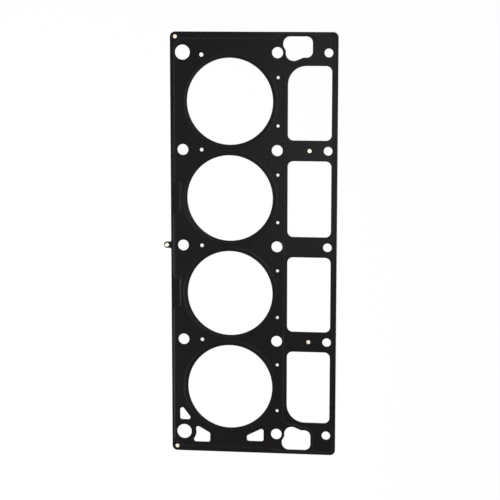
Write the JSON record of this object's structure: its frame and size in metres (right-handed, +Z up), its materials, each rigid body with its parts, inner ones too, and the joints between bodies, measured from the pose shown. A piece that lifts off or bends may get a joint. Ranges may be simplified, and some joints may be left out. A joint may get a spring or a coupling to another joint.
{
  "type": "cylinder head gasket",
  "caption": "Flat layered steel head gasket for a V8 cylinder bank: cylinder openings in a row, pushrod windows, coolant ports, bolt holes, raised sealing beads and rivets.",
  "frame": {"origin": "middle of the head bolt pattern, between the second and third cylinders, on the flat underside of the lower layer. The lower layer's beads and the rivet heads reach below it, by 0.2 and 0.35 mm.", "axes": "+X across the gasket from the edge with the tab to the pushrod windows, +Y along the row of cylinders towards the front of the engine, +Z up out of the sheet, towards the cylinder head"},
  "size_m": [0.202, 0.494, 0.0019],
  "materials": {
    "coated_steel": "matte black rubber coating on thin spring steel",
    "bare_steel": "plain cold-rolled steel, seen only at cut edges",
    "rivet_brass": "bright pale brass"
  },
  "bodies": {
    "root": {"lower_active_layer": "coated_steel", "inner_spacer_layer": "bare_steel", "upper_active_layer": "coated_steel", "rivet_front_corner": "rivet_brass", "rivet_rear_corner": "rivet_brass", "rivet_front_web": "rivet_brass", "rivet_rear_web": "rivet_brass", "rivet_tab": "rivet_brass"}
  },
  "joints": []
}
